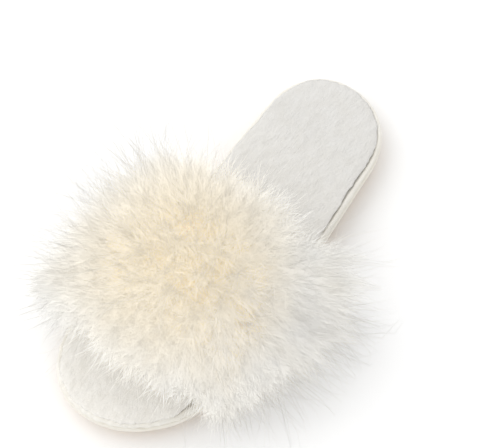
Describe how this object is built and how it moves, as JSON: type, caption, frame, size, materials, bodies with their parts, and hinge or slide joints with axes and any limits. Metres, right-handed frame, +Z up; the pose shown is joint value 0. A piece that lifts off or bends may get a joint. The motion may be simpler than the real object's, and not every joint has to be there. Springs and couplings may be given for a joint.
{
  "type": "open-toe slipper",
  "caption": "Left open-toe house slipper with a plush insole, a fabric-wrapped footbed and a wide arched band under long fluffy feathers.",
  "frame": {"origin": "bottom centre of the slipper's box, on the plane that the sole stands on", "axes": "+X from heel to toe, +Y to the outer side of the left foot, +Z up"},
  "size_m": [0.2598, 0.195, 0.1202],
  "materials": {
    "tan_rubber": "matt moulded rubber",
    "ivory_fabric": "soft knit wrap",
    "white_plush": "short-pile plush",
    "ivory_feather": "long soft feathers"
  },
  "bodies": {
    "root": {"outsole": "tan_rubber", "footbed": "ivory_fabric", "edge_roll": "ivory_fabric", "insole": "white_plush", "upper": "ivory_fabric", "feather_trim": "ivory_feather"}
  },
  "joints": []
}
